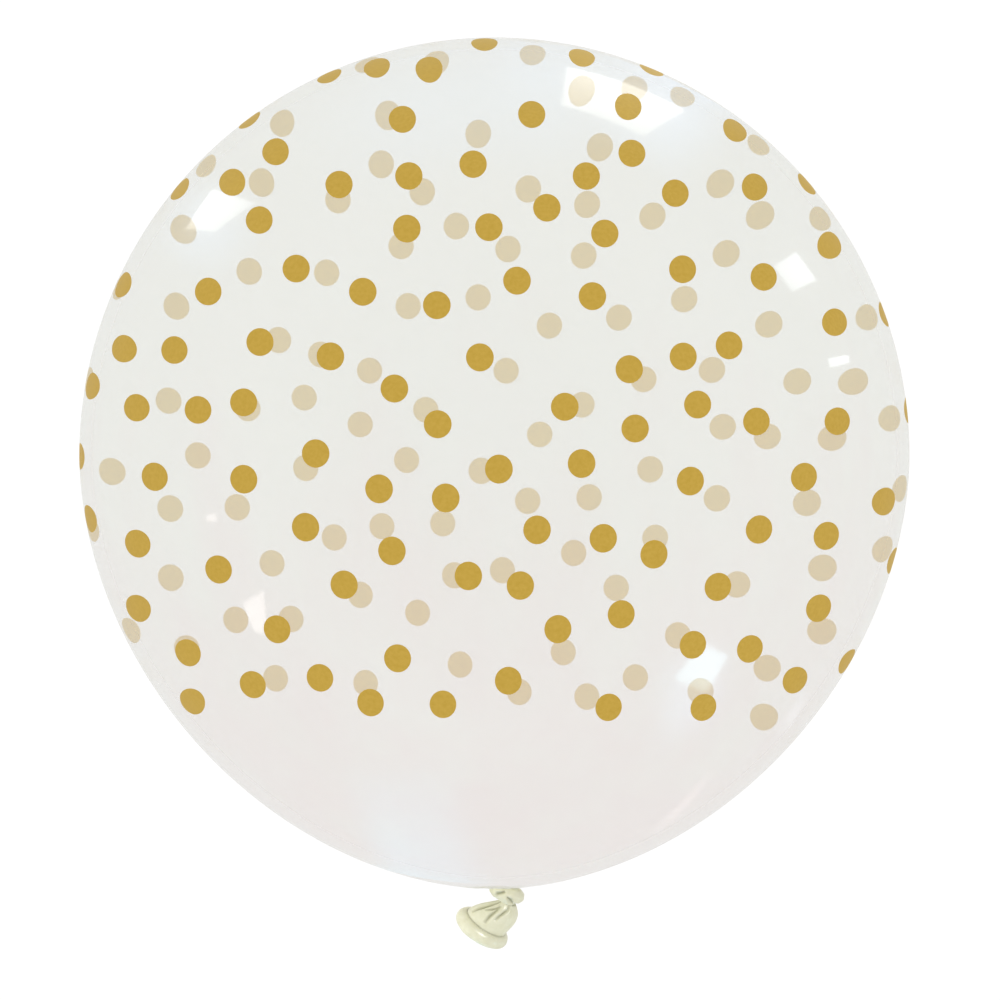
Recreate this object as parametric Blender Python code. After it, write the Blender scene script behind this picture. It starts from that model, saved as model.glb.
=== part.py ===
"""A large round latex balloon, blown up, tied off and lying on its side.

The balloon's long axis is Y, with the crown at +Y and the tied neck at -Y, and +Z is up.
The origin is the middle of the small flat spot that the skin rests on.
The whole balloon is one dipped piece of latex, so it is one closed solid: the blown body,
the knot in its neck, and the open tail below the knot with the rolled bead round its mouth.
"""

import math

import bmesh
import bpy
from mathutils import Matrix, Vector

# Blown body, in metres
BODY_WIDTH = 0.480  # across the widest ring
CROWN_LENGTH = 0.2419  # from the widest ring to the crown
NECK_LENGTH = 0.2506  # from the widest ring to where the neck's end would come to a point
NECK_FULLNESS = 1.87  # 2 is an ellipse, and less draws the neck's half in like a pear
REST_SPOT_RADIUS = 0.028  # of the flat where the skin lies on the floor
DIMPLE_RADIUS = 0.0140  # of the ring where the tied neck starts to draw the skin in
DIMPLE_DEPTH = 0.0014

# Neck between the body and the knot
NECK_RADIUS = 0.0042

# Knot: the neck wrapped once round itself, as a fat ring pulled tight
KNOT_RING_RADIUS = 0.0044  # from the knot's axis to the middle of the wrap
KNOT_WRAP_RADIUS = 0.00575
KNOT_HOLLOW = 0.0017  # how far each side sinks in at the knot's axis
KNOT_SIDE_STEP = 0.0074  # from the body's axis to the knot's middle, towards +X
KNOT_DROP = 0.0025  # from the body's end to the knot's middle
KNOT_LEAN = math.radians(27)  # the knot's axis, turned from the body's towards -X
PLEAT_DEPTH = 0.0009
PLEAT_WIDTH = math.radians(13)
PLEAT_ANGLES = (52, 118, 205, 262, 322)  # round the knot, in degrees

# Tail: a bell that opens below the knot
TAIL_LENGTH = 0.0235  # from the knot's middle to the seam above the bead
TAIL_TURN = math.radians(35)  # turned from the body's axis towards -X
TAIL_DIP = math.radians(23)  # pointed below the level
TAIL_BOW = 0.0042  # how far it swings aside before it comes back into line
THROAT_STEP = 0.0042  # from the knot's middle to where the bell starts to open
THROAT_RADIUS = 0.0050
TAIL_OPENING = 2.0  # above 1, and larger opens sooner
TAIL_WALL = 0.0006

# Rolled bead round the mouth
BEAD_RING_RADIUS = 0.0134
BEAD_RADIUS = 0.0035

# Creases where the knot gathers the bell. Each runs from one angle round the tail to another,
# in degrees, and from one share of the tail's length to another.
CREASE_DEPTH = 0.0014
CREASE_WIDTH = math.radians(9)
CREASES = (
    (76, 93, 0.23, 0.60),
    (117, 106, 0.33, 0.74),
    (117, 135, 0.33, 0.56),
    (127, 145, 0.23, 0.78),
    (20, 8, 0.25, 0.62),
    (190, 180, 0.25, 0.70),
    (232, 244, 0.25, 0.58),
    (282, 272, 0.25, 0.74),
    (328, 320, 0.25, 0.60),
)

# Fineness of the mesh
BODY_SIDES = 72
HALF_RINGS = 18  # on the crown's half of the body, and again on the neck's
DIMPLE_RINGS = 4
NECK_SIDES = 20
KNOT_SIDES = 36
WRAP_RINGS = 10
TAIL_SIDES = 48
THROAT_RINGS = 3
BELL_RINGS = 9
BEAD_RINGS = 10

LATEX_COLOR = (0.83, 0.83, 0.80, 1.0)
LATEX_ROUGHNESS = 0.12

BODY_RADIUS = BODY_WIDTH / 2
AXIS_HEIGHT = math.sqrt(BODY_RADIUS**2 - REST_SPOT_RADIUS**2)
CUT_TOLERANCE = 1e-7
BOW_PEAK = 27 / 4  # makes the largest swing TAIL_BOW, a third of the way along


def clear_scene():
    """Removes what the file opened with."""
    for obj in list(bpy.data.objects):
        bpy.data.objects.remove(obj, do_unlink=True)


def turned_point(radius, angle, along):
    """A point at a radius and an angle round a piece's own Z axis, at a height along it."""
    return Vector((radius * math.cos(angle), radius * math.sin(angle), along))


def even_angles(sides):
    """Angles spaced evenly round a ring."""
    return [math.tau * i / sides for i in range(sides)]


def skin_rings(bm, rings, first_tip=None, last_tip=None):
    """Joins rings of points into a skin, and closes each end on its tip, or flat without one."""
    rows = [[bm.verts.new(point) for point in ring] for ring in rings]
    sides = len(rows[0])
    for row, next_row in zip(rows, rows[1:]):
        for i in range(sides):
            j = (i + 1) % sides
            bm.faces.new((row[i], row[j], next_row[j], next_row[i]))
    for row, tip in ((rows[0], first_tip), (rows[-1], last_tip)):
        if tip is None:
            bm.faces.new(row)
            continue
        tip_vertex = bm.verts.new(tip)
        for i in range(sides):
            bm.faces.new((row[i], row[(i + 1) % sides], tip_vertex))
    bmesh.ops.recalc_face_normals(bm, faces=bm.faces)


def add_object(name, bm):
    """Makes an object of a finished bmesh, shaded smooth."""
    mesh = bpy.data.meshes.new(name)
    bm.to_mesh(mesh)
    bm.free()
    mesh.shade_smooth()
    obj = bpy.data.objects.new(name, mesh)
    bpy.context.scene.collection.objects.link(obj)
    return obj


def place(obj, origin, axis, across):
    """Moves a piece's origin to a point, its Z to the axis and its X to the line across it."""
    turn = Matrix((across, axis.cross(across), axis)).transposed()
    obj.matrix_world = Matrix.LocRotScale(origin, turn, None)


def plan_directions(turn, dip):
    """The axis of a piece turned from -Y towards -X and dipped, and the level line across it."""
    across = Vector((math.cos(turn), -math.sin(turn), 0.0))
    level = Vector((-math.sin(turn), -math.cos(turn), 0.0))
    return level * math.cos(dip) - Vector((0.0, 0.0, math.sin(dip))), across


def skin_end(radius):
    """How far along the neck's half the skin has this radius."""
    fill = 1.0 - (radius / BODY_RADIUS) ** NECK_FULLNESS
    return NECK_LENGTH * fill ** (1.0 / NECK_FULLNESS)


def body_profile():
    """Radius and height of each ring, from near the crown down to the middle of the dimple."""
    profile = []
    for i in range(1, HALF_RINGS):
        angle = 0.5 * math.pi * i / HALF_RINGS
        profile.append((BODY_RADIUS * math.sin(angle), CROWN_LENGTH * math.cos(angle)))
    dimple_angle = math.acos(DIMPLE_RADIUS / BODY_RADIUS)
    for i in range(HALF_RINGS + 1):
        radius = BODY_RADIUS * math.cos(dimple_angle * i / HALF_RINGS)
        profile.append((radius, -skin_end(radius)))
    for i in range(1, DIMPLE_RINGS):
        share = i / DIMPLE_RINGS
        sink = DIMPLE_DEPTH * share * share * (3.0 - 2.0 * share)
        profile.append((DIMPLE_RADIUS * (1.0 - share), sink - skin_end(DIMPLE_RADIUS)))
    return profile


def make_body():
    """The blown skin, turned about its own Z and cut flat on the side that it rests on."""
    rings = [
        [turned_point(radius, angle, along) for angle in even_angles(BODY_SIDES)]
        for radius, along in body_profile()
    ]
    bm = bmesh.new()
    skin_rings(
        bm,
        rings,
        first_tip=Vector((0.0, 0.0, CROWN_LENGTH)),
        last_tip=Vector((0.0, 0.0, DIMPLE_DEPTH - skin_end(DIMPLE_RADIUS))),
    )
    floor_side = Vector((0.0, -1.0, 0.0))
    cut = bmesh.ops.bisect_plane(
        bm,
        geom=bm.verts[:] + bm.edges[:] + bm.faces[:],
        dist=CUT_TOLERANCE,
        plane_co=floor_side * AXIS_HEIGHT,
        plane_no=floor_side,
        clear_outer=True,
    )
    rim = [item for item in cut["geom_cut"] if isinstance(item, bmesh.types.BMEdge)]
    bmesh.ops.edgeloop_fill(bm, edges=rim)
    bmesh.ops.recalc_face_normals(bm, faces=bm.faces)
    body = add_object("balloon", bm)
    place(body, Vector((0.0, 0.0, AXIS_HEIGHT)), Vector((0.0, 1.0, 0.0)), Vector((-1.0, 0.0, 0.0)))
    return body


def knot_middle():
    """The middle of the knot, level with the body's axis."""
    return Vector((KNOT_SIDE_STEP, -skin_end(DIMPLE_RADIUS) - KNOT_DROP, AXIS_HEIGHT))


def make_neck():
    """The short neck, from inside the body's dimple to the middle of the knot."""
    root_depth = DIMPLE_DEPTH + NECK_RADIUS
    root = Vector((0.0, root_depth - skin_end(DIMPLE_RADIUS), AXIS_HEIGHT))
    run = knot_middle() - root
    rings = [
        [turned_point(NECK_RADIUS, angle, along) for angle in even_angles(NECK_SIDES)]
        for along in (0.0, run.length)
    ]
    bm = bmesh.new()
    skin_rings(bm, rings)
    neck = add_object("neck", bm)
    place(neck, root, run.normalized(), Vector((0.0, 0.0, 1.0)))
    return neck


def wrap_radius(angle):
    """The wrap's radius at an angle round the knot, pinched in at each pleat."""
    pinch = 0.0
    for pleat in PLEAT_ANGLES:
        off = (angle - math.radians(pleat) + math.pi) % math.tau - math.pi
        pinch = max(pinch, math.exp(-((off / PLEAT_WIDTH) ** 2)))
    return KNOT_WRAP_RADIUS - PLEAT_DEPTH * pinch


def make_knot():
    """The wrap as a fat ring whose middle is filled, a little sunk on both sides."""
    wrap = [(angle, wrap_radius(angle)) for angle in even_angles(KNOT_SIDES)]
    half_way = 0.5 * KNOT_RING_RADIUS
    rings = [[turned_point(half_way, angle, radius - 0.5 * KNOT_HOLLOW) for angle, radius in wrap]]
    for i in range(WRAP_RINGS + 1):
        out = math.sin(math.pi * i / WRAP_RINGS)
        up = math.cos(math.pi * i / WRAP_RINGS)
        rings.append(
            [turned_point(KNOT_RING_RADIUS + radius * out, angle, radius * up) for angle, radius in wrap]
        )
    rings.append([Vector((point.x, point.y, -point.z)) for point in rings[0]])
    tip = Vector((0.0, 0.0, KNOT_WRAP_RADIUS - KNOT_HOLLOW))
    bm = bmesh.new()
    skin_rings(bm, rings, first_tip=tip, last_tip=-tip)
    knot = add_object("knot", bm)
    place(knot, knot_middle(), *plan_directions(KNOT_LEAN, 0.0))
    return knot


def crease(angle, along):
    """How deep the bell is creased at an angle round it and a distance from the knot's middle."""
    depth = 0.0
    for start_angle, end_angle, start, end in CREASES:
        run = (along / TAIL_LENGTH - start) / (end - start)
        if not 0.0 < run < 1.0:
            continue
        line = math.radians(start_angle + (end_angle - start_angle) * run)
        off = (angle - line + math.pi) % math.tau - math.pi
        depth = max(depth, math.sin(math.pi * run) * math.exp(-((off / CREASE_WIDTH) ** 2)))
    return CREASE_DEPTH * depth


def bell_radius(angle, along):
    """The outside of the bell: the throat's radius in the knot, and the bead's at the seam."""
    opened = max(0.0, (along - THROAT_STEP) / (TAIL_LENGTH - THROAT_STEP))
    seam_radius = BEAD_RING_RADIUS + 0.5 * TAIL_WALL
    flare = (seam_radius - THROAT_RADIUS) * (1.0 - (1.0 - opened) ** TAIL_OPENING)
    return THROAT_RADIUS + flare - crease(angle, along)


def tail_bow(along):
    """How far the tail's middle line has swung aside at this distance from the knot's middle."""
    share = min(1.0, along / TAIL_LENGTH)
    return Vector((TAIL_BOW * BOW_PEAK * share * (1.0 - share) ** 2, 0.0, 0.0))


def make_tail():
    """The creased bell, the bead round its mouth, and the hollow inside them."""
    angles = even_angles(TAIL_SIDES)
    tail_axis, tail_across = plan_directions(TAIL_TURN, TAIL_DIP)
    slant = tail_axis.angle(plan_directions(KNOT_LEAN, 0.0)[0])
    knot_reach = KNOT_RING_RADIUS * math.sin(slant) + KNOT_WRAP_RADIUS
    hollow_end = knot_reach + TAIL_WALL
    throat = [THROAT_STEP + (hollow_end - THROAT_STEP) * i / THROAT_RINGS for i in range(THROAT_RINGS)]
    bell = [hollow_end + (TAIL_LENGTH - hollow_end) * i / BELL_RINGS for i in range(BELL_RINGS + 1)]

    rings = []
    for along in (0.0, *throat, *bell):
        ring = [turned_point(bell_radius(angle, along), angle, along) for angle in angles]
        rings.append([point + tail_bow(along) for point in ring])
    seam_roll = math.asin(0.5 * TAIL_WALL / BEAD_RADIUS)
    bead_along = TAIL_LENGTH + BEAD_RADIUS * math.cos(seam_roll)
    for i in range(1, BEAD_RINGS):
        roll = seam_roll + (math.tau - 2.0 * seam_roll) * i / BEAD_RINGS
        radius = BEAD_RING_RADIUS + BEAD_RADIUS * math.sin(roll)
        along = bead_along - BEAD_RADIUS * math.cos(roll)
        rings.append([turned_point(radius, angle, along) for angle in angles])
    for along in reversed(bell):
        ring = [turned_point(bell_radius(angle, along) - TAIL_WALL, angle, along) for angle in angles]
        rings.append([point + tail_bow(along) for point in ring])

    bm = bmesh.new()
    skin_rings(bm, rings)
    tail = add_object("tail", bm)
    place(tail, knot_middle(), tail_axis, tail_across)
    return tail


def join(whole, piece):
    """Adds a piece to the whole, and keeps the piece itself as a hidden helper."""
    union = whole.modifiers.new(f"join {piece.name}", "BOOLEAN")
    union.operation = "UNION"
    union.solver = "EXACT"
    union.object = piece
    piece.hide_render = True
    piece.display_type = "WIRE"


def latex_material():
    """Clear white latex, thin and glossy."""
    latex = bpy.data.materials.new("latex")
    latex.use_nodes = True
    shader = latex.node_tree.nodes["Principled BSDF"]
    shader.inputs["Base Color"].default_value = LATEX_COLOR
    shader.inputs["Roughness"].default_value = LATEX_ROUGHNESS
    shader.inputs["Metallic"].default_value = 0.0
    return latex


clear_scene()
balloon = make_body()
for added in (make_neck(), make_knot(), make_tail()):
    join(balloon, added)
balloon.data.materials.append(latex_material())
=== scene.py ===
"""The looks of a large round latex balloon with a print of gold dots, tied off and lying down.

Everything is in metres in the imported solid's frame: the tied neck is towards -Y, the crown
towards +Y, and +Z is up. The sections follow the balloon as it is made: the blown skin with its
print, the knot in its neck, and the open tail. The floor, the camera and the light come last.
"""

import math
import random

import bmesh
import bpy
import numpy as np
from mathutils import Matrix, Vector
from mathutils.geometry import delaunay_2d_cdt
from mathutils.kdtree import KDTree


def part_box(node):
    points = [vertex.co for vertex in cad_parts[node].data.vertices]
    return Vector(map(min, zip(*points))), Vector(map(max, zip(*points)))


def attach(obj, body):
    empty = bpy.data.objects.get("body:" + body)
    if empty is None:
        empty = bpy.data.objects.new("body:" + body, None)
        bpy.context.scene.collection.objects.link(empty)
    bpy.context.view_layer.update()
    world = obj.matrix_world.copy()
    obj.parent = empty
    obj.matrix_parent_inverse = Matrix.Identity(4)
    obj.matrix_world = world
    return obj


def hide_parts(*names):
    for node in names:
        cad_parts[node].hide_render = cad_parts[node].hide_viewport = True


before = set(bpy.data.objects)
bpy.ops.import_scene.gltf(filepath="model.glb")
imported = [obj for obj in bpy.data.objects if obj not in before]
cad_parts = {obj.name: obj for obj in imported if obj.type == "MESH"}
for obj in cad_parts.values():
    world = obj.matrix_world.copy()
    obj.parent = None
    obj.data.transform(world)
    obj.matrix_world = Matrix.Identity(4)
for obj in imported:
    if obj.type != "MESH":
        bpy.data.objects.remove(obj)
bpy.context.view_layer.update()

# The blown skin
# It is one dipped skin of natural latex, blown until it is a clear film of a few hundredths of a
# millimetre. It stays thick and cream only where the tied neck gathers it. The gold dots are
# screen printed on it in two passes, one from the front and one from behind.

low_corner, high_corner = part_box("balloon")
BODY_RADIUS = 0.5 * (high_corner.x - low_corner.x)
CROWN_LENGTH = high_corner.y
AXIS_HEIGHT = high_corner.z - BODY_RADIUS
NECK_LENGTH = 0.2506  # from the widest ring to where the neck's end would come to a point
NECK_FULLNESS = 1.87  # 2 is an ellipse, and less draws the neck's half in like a pear
REST_BLEND = 0.0008  # height over which the skin rolls off its flat spot
DIMPLE_RADIUS = 0.0140  # of the ring where the tied neck starts to draw the skin in
DIMPLE_DEPTH = 0.0014
CAP_START = math.radians(137)  # from the crown to the ring where the neck's even rings begin
CAP_SIDES = 240
CAP_RINGS = 80
THROAT_RADIUS = 0.0050  # of the skin's last ring, inside the knot
FILM_SPACING = 0.0062  # from point to point of its mesh, away from the dots

GATHER_COUNT = 17  # creases that run out from the tied neck
GATHER_DEPTH = 0.0008
GATHER_WIDTH = 0.0013  # half of it, and less where they crowd together at the neck
GATHER_CROWDING = 0.3  # that half width there, as a share of the space for each
GATHER_STRAY = 0.3  # how far each strays from its even place, as such a share
GATHER_REACH = (0.014, 0.030)  # how far from the axis the shortest and the longest one end
GATHER_SEED = 5

FILM_SLOT, INK_SLOT, FIRST_BAND_SLOT = 0, 1, 2  # the skin's material slots
DOT_RADIUS = 0.00768
DOT_COUNT = 104  # in each of the two passes
DOT_TRIES = 24  # each dot takes the emptiest of this many random places on the flat print
DOT_SEED = 9506  # of thousands scored against the photographed dots' places, and kept as a near one
DOT_SIDES = 40
DOT_RINGS = (  # rings of points round each dot's middle: a share of its radius, and their count
    (1.0, DOT_SIDES),
    (1.28, DOT_SIDES // 2),
    (0.72, DOT_SIDES // 2),
    (0.36, DOT_SIDES // 4),
)
DOT_CLEARING = 1.5  # the film's own points stay this share of a dot's radius off its middle
DOT_FACING = 0.1  # cosine of the widest angle from a dot's middle at which the dot is looked for
PRINT_OFFSET = (0.0026, -0.0081)  # its middle from the body's, in X and Y
PRINT_REACH = 1.03  # the flat print's radius, as a share of the body's
PRINT_LOWEST = -0.554  # the line where it stops short of the neck, as such a share
PRINT_STRETCH_LIMIT = 3.0  # blowing stretches the flat print most where the skin turns away
BACK_TURN = math.radians(-4.3)  # the second pass is laid on a little turned and shifted
BACK_SHIFT = math.radians(1.2)


def skin_spread(aims):
    """How far the skin lies from the body's axis in each direction, as a share, and its fullness."""
    fullness = np.where(aims[:, 1] > 0.0, 2.0, NECK_FULLNESS)
    return (1.0 - np.minimum(np.abs(aims[:, 1]), 1.0) ** fullness) ** (1.0 / fullness), fullness


def skin_points(aims):
    """Where the skin lies in each direction, with the part that the floor presses flat."""
    spread, _ = skin_spread(aims)
    length = np.where(aims[:, 1] > 0.0, CROWN_LENGTH, NECK_LENGTH)
    sideways = spread / np.maximum(np.hypot(aims[:, 0], aims[:, 2]), 1e-9)
    height = AXIS_HEIGHT + BODY_RADIUS * sideways * aims[:, 2]
    roll = np.clip(REST_BLEND - np.abs(height), 0.0, None) ** 2 / (4.0 * REST_BLEND)
    across = BODY_RADIUS * sideways * aims[:, 0]
    return np.column_stack((across, length * aims[:, 1], np.maximum(height, 0.0) + roll))


def unit(vectors):
    """The same directions at length 1."""
    return vectors / np.linalg.norm(vectors, axis=-1, keepdims=True)


def skin_normals(aims):
    """Which way the skin faces in each direction."""
    spread, fullness = skin_spread(aims)
    length = np.where(aims[:, 1] > 0.0, CROWN_LENGTH, NECK_LENGTH)
    sideways = np.maximum(np.hypot(aims[:, 0], aims[:, 2]), 1e-9)
    outward = spread ** (fullness - 1.0) / BODY_RADIUS
    axial = np.sign(aims[:, 1]) * np.abs(aims[:, 1]) ** (fullness - 1.0) / length
    height = AXIS_HEIGHT + BODY_RADIUS * spread * aims[:, 2] / sideways
    slope = np.clip(0.5 + 0.5 * height / REST_BLEND, 0.0, 1.0)
    across = slope * outward * aims[:, 0] / sideways
    return unit(np.column_stack((across, slope * axial, outward * aims[:, 2] / sideways)))


def even_turns(sides):
    """Angles spaced evenly round a ring."""
    return math.tau * np.arange(sides) / sides


def even_aims(spacing):
    """Directions spread evenly all round, on a spiral, this far apart on the skin."""
    space_of_each = math.sqrt(0.75) * spacing**2
    count = int(4.0 * math.pi * BODY_RADIUS**2 / space_of_each)
    step = np.arange(count) + 0.5
    height = 1.0 - 2.0 * step / count
    spread = np.sqrt(1.0 - height**2)
    golden_turn = math.pi * (3.0 - math.sqrt(5.0))
    turn = step * golden_turn
    return np.column_stack((spread * np.cos(turn), height, spread * np.sin(turn)))


def flat_places():
    """Places of the dots on the flat print, evenly scattered round its middle."""
    draw = random.Random(DOT_SEED)
    places = [(0.0, 0.0)]
    while len(places) < DOT_COUNT:
        emptiest, most_room = None, -1.0
        for _ in range(DOT_TRIES):
            place = (PRINT_REACH, PRINT_REACH)
            while math.hypot(*place) >= PRINT_REACH:
                across = draw.uniform(-PRINT_REACH, PRINT_REACH)
                place = (across, draw.uniform(PRINT_LOWEST, PRINT_REACH))
            room = min(math.dist(place, other) for other in places)
            if room > most_room:
                emptiest, most_room = place, room
        places.append(emptiest)
    return places


def wrapped_reach(spread):
    """How far round the body, as an angle from the print's middle, the flat print's place lies."""
    steep = math.sqrt(1.0 - PRINT_STRETCH_LIMIT**-2)
    if spread < steep:
        return math.asin(spread)
    return math.asin(steep) + (spread - steep) * PRINT_STRETCH_LIMIT


def print_layout():
    """Each dot of one pass: its direction, and its radius away from and round the print's middle."""
    across, along = (offset / BODY_RADIUS for offset in PRINT_OFFSET)
    middle = np.array((across, along, math.sqrt(1.0 - across**2 - along**2)))
    right = unit(np.cross((0.0, 1.0, 0.0), middle))
    up = np.cross(middle, right)
    radius = DOT_RADIUS / BODY_RADIUS
    dots = []
    for place in flat_places():
        spread = math.hypot(*place)
        reach = wrapped_reach(spread)
        turn = math.atan2(place[1], place[0])
        away = math.cos(turn) * right + math.sin(turn) * up
        aim = math.cos(reach) * middle + math.sin(reach) * away
        outward = math.cos(reach) * away - math.sin(reach) * middle
        stretch = min(1.0 / max(math.cos(reach), 1e-6), PRINT_STRETCH_LIMIT)
        draw_in = math.sin(reach) / spread if spread > 0.0 else 1.0
        dots.append((aim, outward * radius * stretch, np.cross(aim, outward) * radius * draw_in))
    return dots


def both_passes():
    """The dots of the front pass, and those of the same print laid on from behind."""
    front = print_layout()
    half_turn = Matrix.Rotation(math.pi + BACK_SHIFT, 3, "Y")
    second = np.array(Matrix.Rotation(BACK_TURN, 3, "Z") @ half_turn)
    return front + [tuple(second @ vector for vector in dot) for dot in front]


def dot_rim(dot, share, sides):
    """Directions round a dot, at a share of its radius."""
    aim, outward, sideways = dot
    turn = even_turns(sides)[:, None]
    return unit(aim + share * (np.cos(turn) * outward + np.sin(turn) * sideways))


def dot_share(aims, dot):
    """How far each direction is from a dot's middle, as a share of its radius."""
    aim, outward, sideways = dot
    facing = aims @ aim
    flat = aims / np.where(facing > DOT_FACING, facing, np.inf)[:, None]
    share = np.hypot(flat @ outward / (outward @ outward), flat @ sideways / (sideways @ sideways))
    return np.where(facing > DOT_FACING, share, np.inf)


def spread_flat(aims):
    """The directions on a plane, seen from the neck, which keeps every small shape true."""
    return aims[:, (2, 0)] / (1.0 + aims[:, 1])[:, None]


def fold_back(flat):
    """The directions of points on that plane."""
    square = (flat**2).sum(axis=1)
    top = 1.0 - square
    return np.column_stack((2.0 * flat[:, 1], top, 2.0 * flat[:, 0])) / (1.0 + square)[:, None]


def dome_mesh(dots):
    """The skin down to the cap: directions, triangles and each triangle's material slot. The
    rims of the cap and of every dot are edges of the mesh, so that the print is sharp."""
    cap_turn = even_turns(CAP_SIDES)
    cap_spread = math.sin(CAP_START)
    cap_height = np.full(CAP_SIDES, math.cos(CAP_START))
    rim = np.column_stack((cap_spread * np.sin(cap_turn), cap_height, cap_spread * np.cos(cap_turn)))
    film = even_aims(FILM_SPACING)
    film = film[film[:, 1] > math.cos(CAP_START - 0.8 * FILM_SPACING / BODY_RADIUS)]
    for dot in dots:
        film = film[dot_share(film, dot) > DOT_CLEARING]
    aims = [rim]
    edges = [(i, (i + 1) % CAP_SIDES) for i in range(CAP_SIDES)]
    count = CAP_SIDES
    for dot in dots:
        edges += [(count + i, count + (i + 1) % DOT_SIDES) for i in range(DOT_SIDES)]
        for share, sides in DOT_RINGS:
            aims.append(dot_rim(dot, share, sides))
            count += sides
        aims.append(dot[0][None, :])
        count += 1
    aims.append(film)
    flat = [Vector(point) for point in spread_flat(np.vstack(aims))]
    made = delaunay_2d_cdt(flat, edges, [], 0, 1e-7)
    points = np.array([tuple(point) for point in made[0]])
    triangles = np.array(made[2])
    found = fold_back(points)
    middles = unit(found[triangles].mean(axis=1))
    slots = np.full(len(triangles), FILM_SLOT)
    for dot in dots:
        slots[dot_share(middles, dot) < 1.0] = INK_SLOT
    return found, triangles, slots


def turned_from(line, turn):
    """How far round each angle is from a line's, at most half a turn either way."""
    return (turn - line + math.pi) % math.tau - math.pi


def eased(share):
    """A share from 0 to 1 that starts and ends gently."""
    return share * share * (3.0 - 2.0 * share)


def gather(turn, radius):
    """How far the tied neck draws the skin in, in creases that run out from it."""
    draw = random.Random(GATHER_SEED)
    width = np.minimum(GATHER_WIDTH, GATHER_CROWDING * math.tau * radius / GATHER_COUNT)
    depth = np.zeros_like(radius)
    for i in range(GATHER_COUNT):
        line = math.tau * (i + draw.uniform(-GATHER_STRAY, GATHER_STRAY)) / GATHER_COUNT
        reach = draw.uniform(*GATHER_REACH)
        off = turned_from(line, turn) * radius
        depth += np.clip(1.0 - radius / reach, 0.0, 1.0) ** 1.5 * np.exp(-((off / width) ** 2))
    return GATHER_DEPTH * depth


def cap_aims(turn, radius):
    """Directions to the skin round the neck, at this distance from the axis."""
    along = (1.0 - (radius / BODY_RADIUS) ** NECK_FULLNESS) ** (1.0 / NECK_FULLNESS)
    spread = np.sqrt(1.0 - along**2)
    return np.column_stack((spread * np.sin(turn), -along, spread * np.cos(turn)))


def cap_points(turn, radius):
    """The skin round the neck, where it dips and gathers towards the knot."""
    points = skin_points(cap_aims(turn, radius))
    sunk = np.clip(1.0 - radius / DIMPLE_RADIUS, 0.0, 1.0)
    points[:, 1] += DIMPLE_DEPTH * eased(sunk) + gather(turn, radius)
    return points


def linear(code):
    """A colour given as an sRGB hex code, as the shader takes it."""
    shares = [int(code[i : i + 2], 16) / 255.0 for i in (1, 3, 5)]
    return [s / 12.92 if s <= 0.04045 else ((s + 0.055) / 1.055) ** 2.4 for s in shares] + [1.0]


def add_node(tree, kind, feeds=None, stops=None, **settings):
    """Adds a node with its settings, its inputs' values or links, and its colour stops."""
    node = tree.nodes.new(kind)
    for name, value in settings.items():
        setattr(node, name, value)
    for name, value in (feeds or {}).items():
        if isinstance(value, bpy.types.NodeSocket):
            tree.links.new(value, node.inputs[name])
        else:
            node.inputs[name].default_value = value
    for i, (place, code) in enumerate(stops or ()):
        stop = node.color_ramp.elements[i] if i < 2 else node.color_ramp.elements.new(place)
        stop.position = place
        stop.color = linear(code)
    return node


def new_material(name):
    """An empty material, with its nodes and its output."""
    material = bpy.data.materials.new(name)
    material.use_nodes = True
    material.node_tree.nodes.clear()
    return material, material.node_tree, material.node_tree.nodes.new("ShaderNodeOutputMaterial")


FILM_OPACITY = 0.5
FILM_CLOUD = 0.045  # size of the faint clouding that the dipping leaves
FILM_DRAWN = 0.35  # the clouding's scale along the body, because the blowing draws it out
FILM_SPECK = 0.0016  # size of the fine texture of the dry skin


def film_material(name, opacity, crown_code, neck_code):
    """Blown latex film: clear enough to see the far side through it, and glossy as wet glass on
    the outside, but dusted with powder and matt inside. The clouding drifts its tone a little at
    random, over a painted tint of the room's light that runs from the neck's warmer white to the
    crown's cooler one."""
    material, tree, output = new_material(name)
    place = add_node(tree, "ShaderNodeTexCoord").outputs["Object"]
    drawn = add_node(tree, "ShaderNodeMapping", {"Vector": place, "Scale": (1.0, FILM_DRAWN, 1.0)})
    cloud = add_node(
        tree,
        "ShaderNodeTexNoise",
        {"Vector": drawn.outputs[0], "Scale": 1.0 / FILM_CLOUD, "Detail": 3.0},
    )
    height = add_node(tree, "ShaderNodeSeparateXYZ", {"Vector": place}).outputs["Y"]
    blend = add_node(
        tree,
        "ShaderNodeMapRange",
        {
            "Value": height,
            "From Min": -NECK_LENGTH,
            "From Max": CROWN_LENGTH,
            "To Min": -0.25,
            "To Max": 0.75,
        },
    )
    mixed = add_node(
        tree, "ShaderNodeMath", {0: blend.outputs[0], 1: cloud.outputs["Fac"]}, operation="ADD"
    )
    tone = add_node(
        tree,
        "ShaderNodeValToRGB",
        {"Fac": mixed.outputs[0]},
        stops=((0.25, neck_code), (0.85, crown_code)),
    )
    speck = add_node(
        tree, "ShaderNodeTexNoise", {"Vector": place, "Scale": 1.0 / FILM_SPECK, "Detail": 2.0}
    )
    gloss = add_node(
        tree, "ShaderNodeMapRange", {"Value": speck.outputs["Fac"], "To Min": 0.16, "To Max": 0.24}
    )
    inside = add_node(tree, "ShaderNodeNewGeometry").outputs["Backfacing"]
    outside = add_node(tree, "ShaderNodeMath", {0: 1.0, 1: inside}, operation="SUBTRACT")
    shader = add_node(
        tree,
        "ShaderNodeBsdfPrincipled",
        {
            "Base Color": tone.outputs["Color"],
            "Roughness": gloss.outputs[0],
            "IOR": 1.52,
            "Specular IOR Level": 0.1,
            "Alpha": opacity,
            "Coat Weight": outside.outputs[0],
            "Coat Roughness": 0.03,
            "Coat IOR": 1.5,
        },
    )
    tree.links.new(shader.outputs[0], output.inputs["Surface"])
    return material


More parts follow.
